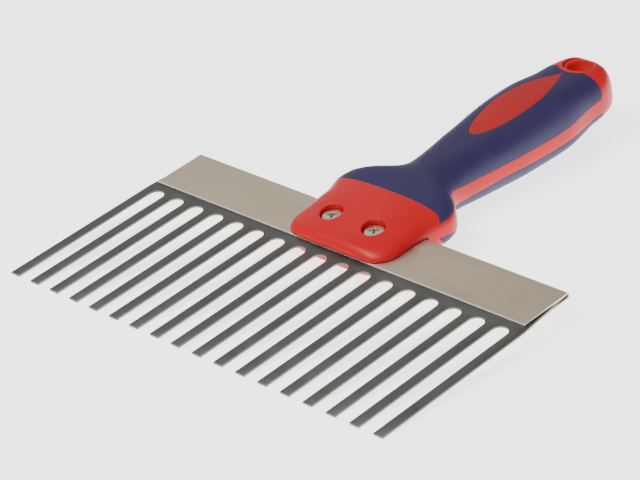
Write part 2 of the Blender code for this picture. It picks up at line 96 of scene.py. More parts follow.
HEAD_HALF = 27.2             # half width of the jaws where they grip the strip
NOSE_HALF = 18.0             # half width of the straight front edge of the jaws
NOSE_CORNER = 10.0           # depth of the rounded front corners
NOSE_ROUND = 3.6             # radius of the jaws' front edge, seen from the side
NOSE_UNDER = 0.6             # the lower jaw's front edge rounds over by this share of it
JAW_OVERHANG = 0.6           # the jaws reach this far in front of the strip
UPPER_JAW = 4.2              # upper jaw over the strip at its front, before the rounding
LOWER_JAW = 5.3              # the same for the lower jaw

SHOULDER_HALF = 30.1
SHOULDER_RISE = 5.6          # the top climbs this much from the upper jaw to the shoulder
SHOULDER_FALL = 4.4          # the underside drops this much from the lower jaw
NECK_SETBACK = 37.1          # narrowest place, behind the blade slot
NECK_HALF = 13.6
GRIP_HALF = 18.6
GRIP_TOP = 11.7
GRIP_BOTTOM = -15.9
BUTT_HALF = 16.4
BUTT_TOP = 8.6
BUTT_BOTTOM = -13.7
BUTT_ROUND = 20.0            # length of the rounded end, seen from above
BUTT_POWER = 2.5             # 2 is an ellipse, more is squarer
BUTT_EDGE = 6.5              # length of the rounded end, seen from the side
EDGE_POWER = 2.2
HANDLE_END = 161.8           # rear end of the handle, behind the slot ends

SKIN = 1.8                   # thickness of the soft mouldings over the core
ZONE_FRONT_SETBACK = 7.9     # front edge of the mouldings, behind the blade slot
ZONE_REAR_SETBACK = 14.5     # rear edge of the mouldings, before the end of the handle
ZONE_UPRIGHT = 3.4           # height of the upright part of their front edge
ZONE_TOE_TOP = 2.0           # the upper moulding reaches forward by this much at the band
ZONE_TOE_BOTTOM = 3.2        # the same for the lower moulding
ZONE_HEEL = 1.3              # length of the slope at their rear corners
ZONE_HEEL_RISE = 2.2
LENS_HALF = 8.5              # leaf-shaped window in the upper moulding
LENS_FRONT_SHARE = 0.267     # its front tip, as a share of the way from neck to butt
LENS_FRONT_POWER = 0.55      # less is rounder
LENS_REAR_POWER = 0.90
LENS_BIAS = 0.88             # under 1 moves the widest place forward

HOLE_SETBACK = 8.8           # hang hole, before the end of the handle
HOLE_RADIUS = 5.2
HOLE_MOUTH = 1.2             # widening of the hole where it meets the dish
DISH_RADIUS = 7.2            # dish around the mouth of the hang hole
DISH_DEPTH = 1.3
DISH_RIM = 1.7               # core left between the dish and the upper moulding

SCREW_SPACING = 22.4
SCREW_SHARE = 0.54           # share of the strip's depth in front of the screws
SCREW_PROUD = 0.3            # flat of the heads, over the upper jaw's front
SCREW_HEAD_RADIUS = 4.2
SCREW_HEAD_HEIGHT = 2.0
SCREW_THREAD_RADIUS = 2.0
SCREW_CORE_RADIUS = 1.55
SCREW_PITCH = 1.5
SCREW_FLOOR = 0.2            # the tips stay this far above the lower jaw's front
BORE_CONE = 0.6              # depth of the cone at the bottom of each screw's bore
SCREW_TURNS = (34.0, 40.0)   # how far each cross recess is turned
CROSS_REACH = 2.3            # length of each arm of the cross recess, from the middle
POCKET_PLAY = 0.5            # room around each head in its pocket
SHEET_HOLE_PLAY = 0.5        # room around the thread in the comb and the strip

# ---- small details that only this model has ----------------------------------------------------
COMB_EDGE = 0.08             # bevel of the comb's edges
STRIP_EDGE = 0.22            # rounding of the strip's edges
STRIP_HIGHLIGHT_BAND = (0.15, 0.40)     # painted highlight along the strip's front edge: full up to here, none past there
DISH_POWER = 0.8             # less makes the dish around the hang hole fuller
POCKET_CORNER = (0.5, 0.15)  # rounding of each head pocket's floor: its size, its middle
FLARE_RIM = 0.80             # rounding of each head pocket's mouth
FLARE_MARGIN = 0.6           # the mouth's cutter reaches outwards by this much more
FLARE_LIFT = 0.12            # and rises by this much, so it leaves the sloping top alone
FLARE_TOP = 3.0              # height of the cutter over the jaw

HEAD_RIM = 0.55              # rounding of a screw head's rim
HEAD_UNDER = 0.15            # bevel under the head
HEAD_CROWN = 0.12            # the head's middle stands this much over its rounded rim
HEAD_DOME = ((0.6, 0.03), (0.3, 0.0))   # (share of the head's radius, drop below its top)
CROSS_ARM = (                # each arm of the recess: (reach, half width, height over the head)
    (1.2, 0.30, -1.6), (CROSS_REACH, 0.50, 0.0), (CROSS_REACH + 0.4, 0.66, 0.6))
CROSS_MIDDLE = (             # the recess's middle: (radius, height over the head)
    (0, -1.7), (0.5, -1.4), (1.15, 0.01), (1.2, 0.6), (0, 0.6))
THREAD_TIP = 0.1             # the thread's first ring, over the screw's tip
THREAD_RUN_OUT = 1.1         # height left for the tip and for the plain shank under the head
THREAD_FLANK = 0.32          # half width of the thread, as a share of its pitch
TIP_SHARE = 0.45             # core radius at the tip, as a share of the full one
TURN_ROWS = 14               # rings in one turn of the thread
TIP_ROWS = 16                # rings over which the tip widens and the thread rises
END_ROWS = 8                 # rings over which the thread fades out under the head


def mix(start, end, share):
    """Value at a share of the way from start to end."""
    return start + (end - start) * share


# ---- sizes that follow -----------------------------------------------------------------------
PITCH = (COMB_WIDTH - TINE_WIDTH) / (TINES - 1)
SLOT_WIDTH = PITCH - TINE_WIDTH
STRIP_LENGTH = COMB_WIDTH - 2 * STRIP_INSET
STRIP_TOP = COMB_STEEL + GAP + STRIP_STEEL
STRIP_BOTTOM = -GAP - STRIP_STEEL
FOLD_RADIUS = (STRIP_TOP - STRIP_BOTTOM) / 2
FOLD_Y = STRIP_FRONT + STRIP_DEPTH - FOLD_RADIUS
FOLD_Z = (STRIP_TOP + STRIP_BOTTOM) / 2
COMB_REAR = FOLD_Y
SLOT_REAR = STRIP_FRONT + STRIP_DEPTH + GAP
HEAD_FRONT = STRIP_FRONT - JAW_OVERHANG
JAW_TOP = STRIP_TOP + UPPER_JAW
JAW_BOTTOM = STRIP_BOTTOM - LOWER_JAW
SHOULDER_TOP = JAW_TOP + SHOULDER_RISE
SHOULDER_BOTTOM = JAW_BOTTOM - SHOULDER_FALL
NECK_Y = SLOT_REAR + NECK_SETBACK
BUTT_START = HANDLE_END - BUTT_ROUND
SCREW_Y = STRIP_FRONT + SCREW_SHARE * STRIP_DEPTH
SCREW_X = (-SCREW_SPACING / 2, SCREW_SPACING / 2)
SCREW_HEAD_TOP = JAW_TOP + SCREW_PROUD
SCREW_SEAT = SCREW_HEAD_TOP - SCREW_HEAD_HEIGHT
SCREW_TIP = JAW_BOTTOM + SCREW_FLOOR
SHEET_HOLE = SCREW_THREAD_RADIUS + SHEET_HOLE_PLAY
ZONE_FRONT = SLOT_REAR + ZONE_FRONT_SETBACK
ZONE_REAR = HANDLE_END - ZONE_REAR_SETBACK
LENS_FRONT = mix(NECK_Y, BUTT_START, LENS_FRONT_SHARE)
LENS_REAR = BUTT_START
HOLE_Y = HANDLE_END - HOLE_SETBACK


def at_jaw(share):
    """Y at a share of the way from the jaws' front to the bottom of the blade slot."""
    return mix(HEAD_FRONT, SLOT_REAR, share)


def at_neck(share):
    """Y at a share of the way from the bottom of the blade slot to the narrowest place."""
    return mix(SLOT_REAR, NECK_Y, share)


def at_grip(share):
    """Y at a share of the way from the narrowest place to the start of the rounded end."""
    return mix(NECK_Y, BUTT_START, share)


# Along the handle: (Y, value), joined by a smooth curve without overshoot.
HALF_WIDTH = (
    (HEAD_FRONT, HEAD_HALF), (HEAD_FRONT + NOSE_CORNER, HEAD_HALF),
    (SLOT_REAR, mix(HEAD_HALF, SHOULDER_HALF, 0.19)), (at_neck(0.27), SHOULDER_HALF),
    (at_neck(0.38), mix(NECK_HALF, SHOULDER_HALF, 0.95)),
    (at_neck(0.53), mix(NECK_HALF, SHOULDER_HALF, 0.67)),
    (at_neck(0.68), mix(NECK_HALF, SHOULDER_HALF, 0.25)),
    (at_neck(0.84), mix(NECK_HALF, SHOULDER_HALF, 0.03)), (NECK_Y, NECK_HALF),
    (at_grip(0.225), mix(NECK_HALF, GRIP_HALF, 0.34)),
    (at_grip(0.45), mix(NECK_HALF, GRIP_HALF, 0.76)), (at_grip(0.74), GRIP_HALF),
    (BUTT_START, BUTT_HALF), (HANDLE_END, BUTT_HALF))
TOP = (
    (HEAD_FRONT, JAW_TOP), (at_jaw(0.73), mix(JAW_TOP, SHOULDER_TOP, 0.48)),
    (at_neck(0.22), mix(JAW_TOP, SHOULDER_TOP, 0.82)), (at_neck(0.49), SHOULDER_TOP),
    (at_neck(0.89), GRIP_TOP - 1.8), (at_grip(0.29), GRIP_TOP - 1.7), (at_grip(0.61), GRIP_TOP),
    (at_grip(0.80), mix(BUTT_TOP, GRIP_TOP, 0.86)), (BUTT_START, mix(BUTT_TOP, GRIP_TOP, 0.32)),
    (HANDLE_END, BUTT_TOP))
BOTTOM = (
    (HEAD_FRONT, JAW_BOTTOM), (at_jaw(0.65), mix(JAW_BOTTOM, SHOULDER_BOTTOM, 0.45)),
    (at_neck(0.22), mix(JAW_BOTTOM, SHOULDER_BOTTOM, 0.77)), (at_neck(0.57), SHOULDER_BOTTOM),
    (at_neck(0.89), GRIP_BOTTOM + 3.3), (at_grip(0.185), GRIP_BOTTOM + 1.2),
    (at_grip(0.49), GRIP_BOTTOM), (at_grip(0.75), GRIP_BOTTOM), (at_grip(0.9), GRIP_BOTTOM + 0.6),
    (BUTT_START, BUTT_BOTTOM), (HANDLE_END, BUTT_BOTTOM + 1.0))
PARTING = (
    (HEAD_FRONT, 0.0), (SLOT_REAR, 0.8), (at_neck(0.22), 1.8), (at_neck(0.46), 1.5),
    (at_neck(0.78), -0.8), (NECK_Y, -1.8), (at_grip(0.32), -2.5), (at_grip(0.69), -3.8),
    (HANDLE_END, -3.4))

# Squareness of the sections: 2 is an ellipse, more is squarer.
SQUARE_TOP = (
    (HEAD_FRONT, 2.7), (at_jaw(0.42), 3.1), (at_jaw(0.81), 3.2), (at_neck(0.19), 2.7),
    (at_neck(0.46), 2.8), (at_neck(0.73), 2.2), (at_grip(0.08), 2.7), (at_grip(0.29), 3.0),
    (at_grip(0.61), 2.9), (HANDLE_END, 3.0))
SQUARE_BOTTOM = (
    (HEAD_FRONT, 3.8), (SLOT_REAR, 3.6), (at_neck(0.35), 2.9), (at_neck(0.73), 2.3),
    (at_grip(0.32), 2.4), (HANDLE_END, 2.7))

# Edges of the mouldings in side view, as shares of the height from the parting line to the top
# and from the parting line to the bottom. The red band shows between them.
BAND_TOP = (
    (ZONE_FRONT - ZONE_TOE_TOP, 0.353), (at_neck(0.43), 0.39), (at_neck(0.78), 0.30),
    (at_grip(0.03), 0.214), (at_grip(0.32), 0.18), (at_grip(0.69), 0.19),
    (ZONE_REAR - ZONE_HEEL, 0.27))
BAND_BOTTOM = (
    (ZONE_FRONT - ZONE_TOE_BOTTOM, 0.228), (at_neck(0.46), 0.312), (at_neck(0.78), 0.342),
    (at_grip(0.03), 0.322), (at_grip(0.32), 0.25), (at_grip(0.69), 0.235),
    (ZONE_REAR - ZONE_HEEL, 0.28))


def along(rows, y):
    """Value at y on the smooth, overshoot-free curve through the rows."""
    if y <= rows[0][0]:
        return rows[0][1]
    if y >= rows[-1][0]:
        return rows[-1][1]
    steps = [(b[0] - a[0], (b[1] - a[1]) / (b[0] - a[0])) for a, b in zip(rows, rows[1:])]
    slopes = [steps[0][1]]
    for (span_a, rise_a), (span_b, rise_b) in zip(steps, steps[1:]):
        if rise_a * rise_b <= 0:
            slopes.append(0.0)
        else:
            weight_a, weight_b = 2 * span_b + span_a, span_b + 2 * span_a
            slopes.append((weight_a + weight_b) / (weight_a / rise_a + weight_b / rise_b))
    slopes.append(steps[-1][1])
    i = max(k for k in range(len(steps)) if y >= rows[k][0])
    span = steps[i][0]
    t = (y - rows[i][0]) / span
    return ((2 * t ** 3 - 3 * t ** 2 + 1) * rows[i][1] + (t ** 3 - 2 * t ** 2 + t) * span * slopes[i]
            + (3 * t ** 2 - 2 * t ** 3) * rows[i + 1][1] + (t ** 3 - t ** 2) * span * slopes[i + 1])


def arc(centre, radius, start, end, count):
    """Points on an arc, angles in degrees."""
    angles = [math.radians(start + (end - start) * k / count) for k in range(count + 1)]
    return [(centre[0] + radius * math.cos(a), centre[1] + radius * math.sin(a)) for a in angles]


def section(y):
    """Half width, top, bottom and parting height of the handle at y."""
    half = along(HALF_WIDTH, y)
    top = along(TOP, y)
    bottom = along(BOTTOM, y)
    parting = along(PARTING, y)
    into_nose = y - HEAD_FRONT
    if into_nose < NOSE_CORNER:
        bulge = math.sqrt(max(0.0, 1 - (1 - into_nose / NOSE_CORNER) ** 2))
        half = NOSE_HALF + (half - NOSE_HALF) * bulge
    if into_nose < NOSE_ROUND:
        drop = NOSE_ROUND * (1 - math.sqrt(max(0.0, 1 - (1 - into_nose / NOSE_ROUND) ** 2)))
        top -= drop
        bottom += NOSE_UNDER * drop
    into_butt = (y - BUTT_START) / BUTT_ROUND
    if into_butt > 0:
        half *= max(0.0, 1 - into_butt ** BUTT_POWER) ** (1 / BUTT_POWER)
    into_edge = (y - HANDLE_END + BUTT_EDGE) / BUTT_EDGE
    if into_edge > 0:
        shrink = max(0.0, 1 - into_edge ** EDGE_POWER) ** (1 / EDGE_POWER)
        top = parting + (top - parting) * shrink
        bottom = parting + (bottom - parting) * shrink
    return half, top, bottom, parting


# ---- fineness of the visual meshes -------------------------------------------------------------
RING_POINTS = 184            # points round each section of the handle
BODY_STEP = 0.9              # distance between the sections
INNER_POINTS = 64            # the same two for the surface under the soft mouldings
INNER_STEP = 3.0
SECTION_SAMPLES = 1441       # samples along a section, before its points are spread evenly
LEAST_HALF = 0.2             # a section never gets smaller than this
NOSE_ANGLES = range(0, 90, 9)           # degrees round the front edge of the jaws
BUTT_ANGLES = (0, 8, 16, 24, 32, 40, 48, 55, 62, 68, 73, 77, 80.5, 83.5, 86, 88)   # round the butt
BAND_POINTS = 110            # steps along the edge of a moulding
LENS_POINTS = 72             # steps along the leaf-shaped window
SLOT_ARC = 32                # steps round each slot end
OUTER_FOLD = 28              # steps round the strip's fold, outside and inside
INNER_FOLD = 20
LATHE_POINTS = 96            # points round the solids of revolution
HANG_HOLE_POINTS = 128
SHEET_HOLE_POINTS = 48
SCREW_POINTS = 72
RECESS_POINTS = 24
HEAD_STEPS = 6               # steps of the roundings: screw head, pocket mouth, dish, hang hole
FLARE_STEPS = 10
DISH_STEPS = 12
MOUTH_STEPS = 8
SLOPE_STEP = 1.5             # reach of the samples that give the slope of the jaw's top
BEYOND = 80.0                # cutters reach past the handle by this much
JUST_BEYOND = 6.0            # the same over the mouths of the hang hole
VISUAL_GAP = 0.10            # between the soft mouldings and the core, where they show
SURFACE_TRIM = 0.03          # keeps the finer surfaces inside the box of the coarser ones
WELD = 0.002                 # points closer than this become one

# Degrees between faces, above which an edge is bevelled or stays sharp.
COMB_BEVEL_ANGLE = 40
STRIP_BEVEL_ANGLE = 50
BODY_SMOOTH_ANGLE = 32
SCREW_SMOOTH_ANGLE = 30
SHEET_SMOOTH_ANGLE = 25


# ---- where the tool's own frame lies -----------------------------------------------------------
def tool_frame():
    """Rigid matrix from the tool's frame to the row frame, both in metres."""
    face = next(m for m in frame["record"]["mounts"] if m["name"] == "working_edge")
    rise = math.atan2(-face["axis"][2], -face["axis"][1])
    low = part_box("comb_blade")[0]
    tip = Vector((0.0, -SLOT_DEPTH, 0.0)) * MM
    turned_tip = Matrix.Rotation(rise, 3, "X") @ tip
    lift = low[2] - turned_tip.z
    top_edge = Matrix.Rotation(rise, 3, "X") @ Vector((0.0, -SLOT_DEPTH, COMB_STEEL)) * MM
    forward = low[1] - top_edge.y
    return Matrix.Translation((0.0, forward, lift)) @ Matrix.Rotation(rise, 4, "X")


TOOL = tool_frame()


# ---- mesh helpers ------------------------------------------------------------------------------
def add_to_scene(name, data):
    """New object in the scene's collection."""
    obj = bpy.data.objects.new(name, data)
    bpy.context.scene.collection.objects.link(obj)
    return obj


def new_object(name, verts, faces):
    """Object from points in the tool's frame, in millimetres."""
    mesh = bpy.data.meshes.new(name)
    mesh.from_pydata([TOOL @ (Vector(point) * MM) for point in verts], [], faces)
    bm = bmesh.new()
    bm.from_mesh(mesh)
    bmesh.ops.recalc_face_normals(bm, faces=bm.faces)
    bm.to_mesh(mesh)
    bm.free()
    return add_to_scene(name, mesh)


def ring_faces(rings, segments):
    """Faces between neighbouring rings of vertex numbers; a ring of one vertex is a pole."""
    faces = []
    for a, b in zip(rings, rings[1:]):
        for k in range(segments):
            j = (k + 1) % segments
            corners = [a[k % len(a)], a[j % len(a)], b[j % len(b)], b[k % len(b)]]
            faces.append(tuple(dict.fromkeys(corners)))
    return faces


def prism(name, outline, low, high, axis="Z"):
    """Closed prism: the outline is (x, y) for axis Z and (y, z) for axis X."""
    def corner(point, level):
        return (point[0], point[1], level) if axis == "Z" else (level, point[0], point[1])

    count = len(outline)
    verts = [corner(p, low) for p in outline] + [corner(p, high) for p in outline]
    ends = [tuple(range(count)), tuple(range(count, 2 * count))]
    return new_object(name, verts, ends + ring_faces(ends, count))


def lathe(name, profile, origin, axis=(0.0, 0.0, 1.0), segments=LATHE_POINTS):
    """Solid of revolution: the profile is (radius, height) along the axis, from pole to pole."""
    turn = Vector((0.0, 0.0, 1.0)).rotation_difference(Vector(axis).normalized()).to_matrix()
    verts, rings = [], []
    for radius, height in profile:
        ring = []
        for k in range(1 if radius == 0 else segments):
            a = 2 * math.pi * k / segments
            point = turn @ Vector((radius * math.cos(a), radius * math.sin(a), height)) + Vector(origin)
            ring.append(len(verts))
            verts.append(tuple(point))
        rings.append(ring)
    return new_object(name, verts, ring_faces(rings, segments))


def carve(obj, cutter, operation="DIFFERENCE"):
    """Boolean, applied at once; the cutter is then removed."""
    modifier = obj.modifiers.new("carve", "BOOLEAN")
    modifier.operation = operation
    modifier.solver = "MANIFOLD"
    modifier.object = cutter
    bake(obj)
    bpy.data.objects.remove(cutter, do_unlink=True)


def bake(obj):
    """Applies the modifiers of obj to its mesh."""
    bpy.context.view_layer.update()
    graph = bpy.context.evaluated_depsgraph_get()
    mesh = bpy.data.meshes.new_from_object(obj.evaluated_get(graph))
    old = obj.data
    obj.modifiers.clear()
    obj.data = mesh
    bpy.data.meshes.remove(old)


def bevel(obj, width, segments, angle):
    """Rounds the edges sharper than angle, in degrees, by width, in millimetres."""
    modifier = obj.modifiers.new("bevel", "BEVEL")
    modifier.width = width * MM
    modifier.segments = segments
    modifier.limit_method = "ANGLE"
    modifier.angle_limit = math.radians(angle)
    modifier.use_clamp_overlap = True
    bake(obj)


def weld(obj):
    """Joins points closer than WELD, clears faces without area, and makes faces of more than
    four corners into triangles."""
    bm = bmesh.new()
    bm.from_mesh(obj.data)
    bmesh.ops.remove_doubles(bm, verts=bm.verts, dist=WELD * MM)
    bmesh.ops.dissolve_degenerate(bm, edges=bm.edges, dist=WELD * MM)
    bmesh.ops.triangulate(bm, faces=[face for face in bm.faces if len(face.verts) > 4])
    bmesh.ops.dissolve_degenerate(bm, edges=bm.edges, dist=WELD * MM)
    bm.to_mesh(obj.data)
    bm.free()


def smooth(obj, angle):
    """Smooth shading, except across edges sharper than angle, in degrees."""
    weld(obj)
    obj.data.shade_smooth()
    obj.data.set_sharp_from_angle(angle=math.radians(angle))


# ---- the handle's surfaces ---------------------------------------------------------------------
def body_places(step):
    """Places of the sections, closer together where the ends round over."""
    nose = [HEAD_FRONT + NOSE_ROUND * (1 - math.cos(math.radians(a))) for a in NOSE_ANGLES]
    start, end = HEAD_FRONT + NOSE_ROUND, HANDLE_END - BUTT_EDGE - 2 * SURFACE_TRIM
    count = math.ceil((end - start) / step)
    middle = [start + (end - start) * k / count for k in range(count)]
    butt = [end + BUTT_EDGE * math.sin(math.radians(a)) for a in BUTT_ANGLES]
    return nose + middle + butt


def ring_at(y, count, inset):
    """Points evenly spaced round the section at y."""
    half, top, bottom, parting = section(y)
    angles = np.linspace(0.0, np.pi, SECTION_SAMPLES)
    across, up = np.cos(angles), np.sin(angles)
    ring = []
    for height, squares, side in ((top - parting, SQUARE_TOP, 1),
                                  (parting - bottom, SQUARE_BOTTOM, -1)):
        power = 2 / along(squares, y)
        x = max(half - inset, LEAST_HALF) * np.sign(across) * np.abs(across) ** power * side
        z = max(height - inset, LEAST_HALF) * np.abs(up) ** power * side
        length = np.concatenate(([0.0], np.cumsum(np.hypot(np.diff(x), np.diff(z)))))
        stops = np.linspace(0.0, length[-1], count // 2, endpoint=False)
        ring += [(float(a), y, parting + float(b))
                 for a, b in zip(np.interp(stops, length, x), np.interp(stops, length, z))]
    return ring


def handle_body(name, inset=0.0):
    """The handle's outer shape, or the same shape drawn in by inset on every side."""
    points = INNER_POINTS if inset else RING_POINTS
    places = body_places(INNER_STEP if inset else BODY_STEP)
    verts = [point for y in places for point in ring_at(y, points, inset + SURFACE_TRIM)]
    rings = [tuple(range(start, start + points)) for start in range(0, len(verts), points)]
    return new_object(name, verts, ring_faces(rings, points) + [rings[0], rings[-1]])


def band_edge(rows, limit, inset):
    """Edge of a moulding from front to rear; limit picks the section's top (1) or bottom (2)."""
    first, last = rows[0][0] + inset, rows[-1][0] - inset
    away = inset if limit == 1 else -inset
    edge = []
    for k in range(BAND_POINTS + 1):
        y = mix(first, last, k / BAND_POINTS)
        shape = section(y)
        edge.append((y, mix(shape[3], shape[limit], along(rows, y)) + away))
    return edge


def zone(name, rows, limit, inset):
    """Side-view prism of the upper (limit 1) or lower (limit 2) moulding, drawn in by inset."""
    edge = band_edge(rows, limit, inset)
    outwards = 1 if limit == 1 else -1
    surface = section(ZONE_FRONT)[limit]
    outside = outwards * BEYOND
    outline = edge + [(ZONE_REAR - inset, edge[-1][1] + outwards * ZONE_HEEL_RISE),
                      (ZONE_REAR - inset, outside), (ZONE_FRONT + inset, outside),
                      (ZONE_FRONT + inset, surface - outwards * ZONE_UPRIGHT)]
    return prism(name, outline, -BEYOND, BEYOND, axis="X")


def lens_half(share):
    """Half width of the leaf-shaped window at a share of its length."""
    power = mix(LENS_FRONT_POWER, LENS_REAR_POWER, share)
    return LENS_HALF * max(0.0, math.sin(math.pi * share ** LENS_BIAS)) ** power


def lens_prism(name, grow):
    """Upright prism of the leaf-shaped window, made larger by grow on every side."""
    places = [0.5 * (1 - math.cos(math.pi * k / LENS_POINTS)) for k in range(LENS_POINTS + 1)]
    side = [(lens_half(t) * (1 + grow / LENS_HALF), mix(LENS_FRONT - grow, LENS_REAR + grow, t))
            for t in places]
    mirrored = [(-x, y) for x, y in reversed(side[1:-1])]
    return prism(name, side + mirrored, 0.0, BEYOND)


def scallop(name, grow):
    """Upright cylinder that scoops the upper moulding's edge before the hang hole."""
    radius = DISH_RADIUS + DISH_RIM + grow
    return lathe(name, [(0, 0.0), (radius, 0.0), (radius, BEYOND), (0, BEYOND)], (0, HOLE_Y, 0))


def drill(sheet, low, high):
    """Both screw holes through a flat sheet, from height low to height high."""
    for x in SCREW_X:
        profile = [(0, low), (SHEET_HOLE, low), (SHEET_HOLE, high), (0, high)]
        carve(sheet, lathe("hole", profile, (x, SCREW_Y, 0), segments=SHEET_HOLE_POINTS))


# ---- the pieces --------------------------------------------------------------------------------
def comb_blade():
    """Flat comb: square tines with full-radius slot ends and broken edges."""
    radius = SLOT_WIDTH / 2
    half = COMB_WIDTH / 2
    outline = []
    for k in range(TINES):
        left = -half + k * PITCH
        outline += [(left, -SLOT_DEPTH), (left + TINE_WIDTH, -SLOT_DEPTH)]
        if k < TINES - 1:
            outline += arc((left + TINE_WIDTH + radius, -radius), radius, 180, 0, SLOT_ARC)
    outline += [(half, COMB_SHOULDER), (half - COMB_TAPER, COMB_REAR),
                (COMB_TAPER - half, COMB_REAR), (-half, COMB_SHOULDER)]
    blade = prism("comb", outline, 0.0, COMB_STEEL)
    drill(blade, -1, 3)
    bevel(blade, COMB_EDGE, 2, COMB_BEVEL_ANGLE)
    smooth(blade, SHEET_SMOOTH_ANGLE)
    return blade


def back_strip():
    """Sheet folded over the comb's back edge, a leaf above and a leaf below."""
    outer = arc((FOLD_Y, FOLD_Z), FOLD_RADIUS, 90, -90, OUTER_FOLD)
    inner = arc((FOLD_Y, FOLD_Z), FOLD_RADIUS - STRIP_STEEL, -90, 90, INNER_FOLD)
    outline = ([(STRIP_FRONT, STRIP_TOP)] + outer
               + [(STRIP_FRONT, STRIP_BOTTOM), (STRIP_FRONT, STRIP_BOTTOM + STRIP_STEEL)]
               + inner + [(STRIP_FRONT, STRIP_TOP - STRIP_STEEL)])
    strip = prism("folded_strip", outline, -STRIP_LENGTH / 2, STRIP_LENGTH / 2, axis="X")
    drill(strip, -3, 5)
    bevel(strip, STRIP_EDGE, 3, STRIP_BEVEL_ANGLE)
    smooth(strip, SHEET_SMOOTH_ANGLE)
    return strip


def top_height(x, y):
    """Height of the handle's top at (x, y)."""
    half, top, _, parting = section(y)
    square = along(SQUARE_TOP, y)
    return parting + (top - parting) * max(0.0, 1 - abs(x / half) ** square) ** (1 / square)


def top_normal(x, y):
    """Upward normal of the handle's top at (x, y)."""
    step = SLOPE_STEP
    slope_x = (top_height(x + step, y) - top_height(x - step, y)) / (2 * step)
    slope_y = (top_height(x, y + step) - top_height(x, y - step)) / (2 * step)
    return Vector((-slope_x, -slope_y, 1.0)).normalized()


def screw_bore(x):
    """Head pocket and bore for one screw, down to a closed end in the lower jaw."""
    pocket = SCREW_HEAD_RADIUS + POCKET_PLAY
    corner, middle = POCKET_CORNER
    bore = SCREW_THREAD_RADIUS + GAP
    bottom, seat = SCREW_TIP - GAP, SCREW_SEAT - GAP
    profile = [(0, bottom - BORE_CONE), (bore, bottom), (bore, seat), (pocket - corner, seat),
               (pocket - middle, seat + middle), (pocket, seat + corner), (pocket, BEYOND),
               (0, BEYOND)]
    return lathe("bore", profile, (x, SCREW_Y, 0))


def screw_flare(x):
    """Rounded rim of a head pocket, square to the sloping top of the jaw."""
    radius, rim = SCREW_HEAD_RADIUS + POCKET_PLAY, FLARE_RIM
    profile = [(0, -rim)]
    for k in range(FLARE_STEPS + 1):
        angle = math.radians(90 * k / FLARE_STEPS)
        profile.append((radius + rim * (1 - math.cos(angle)), -rim + rim * math.sin(angle)))
    outside = radius + rim + FLARE_MARGIN
    profile += [(outside, FLARE_LIFT), (outside, FLARE_TOP), (0, FLARE_TOP)]
    return lathe("flare", profile, (x, SCREW_Y, top_height(x, SCREW_Y)), top_normal(x, SCREW_Y))


def hang_hole():
    """Bore through the butt, with a hollow dish at each mouth."""
    top, bottom = section(HOLE_Y)[1:3]
    mouth = HOLE_RADIUS + HOLE_MOUTH
    half = [(0, JUST_BEYOND), (DISH_RADIUS + JUST_BEYOND / 2, JUST_BEYOND), (DISH_RADIUS, 0.0)]
    for k in range(1, DISH_STEPS):
        share = k / DISH_STEPS
        depth = DISH_DEPTH * math.sin(math.pi / 2 * share) ** DISH_POWER
        half.append((mix(DISH_RADIUS, mouth, share), -depth))
    for k in range(MOUTH_STEPS + 1):
        angle = math.radians(90 * k / MOUTH_STEPS)
        half.append((mouth - HOLE_MOUTH * math.sin(angle),
                     -DISH_DEPTH - HOLE_MOUTH * (1 - math.cos(angle))))
    profile = [(radius, bottom - rise) for radius, rise in half]
    profile += [(radius, top + rise) for radius, rise in reversed(half)]
    return lathe("hang_hole_cut", profile, (0, HOLE_Y, 0), segments=HANG_HOLE_POINTS)


def handle_core():
    """Hard core: jaws, side bands, leaf pad and butt, recessed for the soft mouldings."""
    core = handle_body("core")
    for rows, limit in ((BAND_TOP, 1), (BAND_BOTTOM, 2)):
        recess = zone("recess", rows, limit, 0.0)
        if limit == 1:
            carve(recess, lens_prism("lens_pad", 0.0))
            carve(recess, scallop("scallop_pad", 0.0))
        carve(recess, handle_body("under_skin", inset=SKIN))
        carve(core, recess)
    slot_low, slot_high = STRIP_BOTTOM - GAP, STRIP_TOP + GAP
    slot = [(-BEYOND, slot_low), (SLOT_REAR, slot_low),
            (SLOT_REAR, slot_high), (-BEYOND, slot_high)]
    carve(core, prism("blade_slot", slot, -BEYOND, BEYOND, axis="X"))
    for x in SCREW_X:
        carve(core, screw_bore(x))
        carve(core, screw_flare(x))
    carve(core, hang_hole())
    smooth(core, BODY_SMOOTH_ANGLE)
    return core


def grip_upper():
    """Soft upper moulding with the leaf window, from the shoulder to the butt."""
    skin = handle_body("upper_grip")
    carve(skin, zone("edges", BAND_TOP, 1, VISUAL_GAP), "INTERSECT")
    carve(skin, handle_body("underside", inset=SKIN - GAP))
    carve(skin, lens_prism("window", VISUAL_GAP))
    carve(skin, scallop("scallop_edge", VISUAL_GAP))
    smooth(skin, BODY_SMOOTH_ANGLE)
    return skin


def grip_lower():
    """Soft lower moulding, from under the shoulder to the butt."""
    skin = handle_body("lower_grip")
    carve(skin, zone("edges", BAND_BOTTOM, 2, VISUAL_GAP), "INTERSECT")
    carve(skin, handle_body("underside", inset=SKIN - GAP))
    smooth(skin, BODY_SMOOTH_ANGLE)
    return skin


